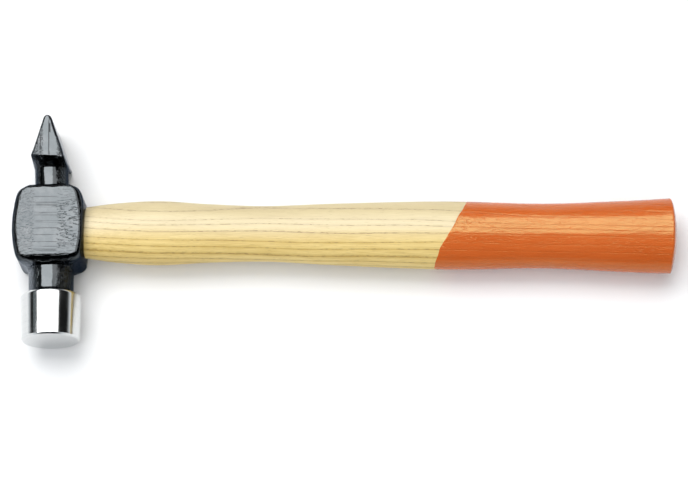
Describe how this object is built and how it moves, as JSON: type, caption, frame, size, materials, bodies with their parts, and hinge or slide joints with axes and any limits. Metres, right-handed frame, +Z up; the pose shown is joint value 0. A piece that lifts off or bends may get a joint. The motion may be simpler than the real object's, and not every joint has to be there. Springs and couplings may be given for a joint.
{
  "type": "cross peen hammer",
  "caption": "Engineer's cross peen hammer: black painted forging with a bright round poll and a wedge peen, on a hickory handle with a lacquered grip.",
  "frame": {"origin": "middle of the lower cheek's flat, under the middle of the eye, on the surface that the hammer lies on", "axes": "+X along the handle from the head to the butt, +Y along the head towards the peen, +Z up out of the upper cheek"},
  "size_m": [0.3519, 0.122, 0.0324],
  "materials": {
    "black_paint": "gloss black paint over forged steel, its poll ground bright",
    "bare_steel": "ground and polished steel",
    "hickory": "clear varnished hickory, dipped in orange lacquer at the grip",
    "wedge_wood": "raw hardwood end grain"
  },
  "bodies": {
    "root": {"hammer_head": "black_paint", "handle": "hickory", "wooden_wedge": "wedge_wood", "steel_wedge_peen_side": "bare_steel", "steel_wedge_poll_side": "bare_steel"}
  },
  "joints": []
}
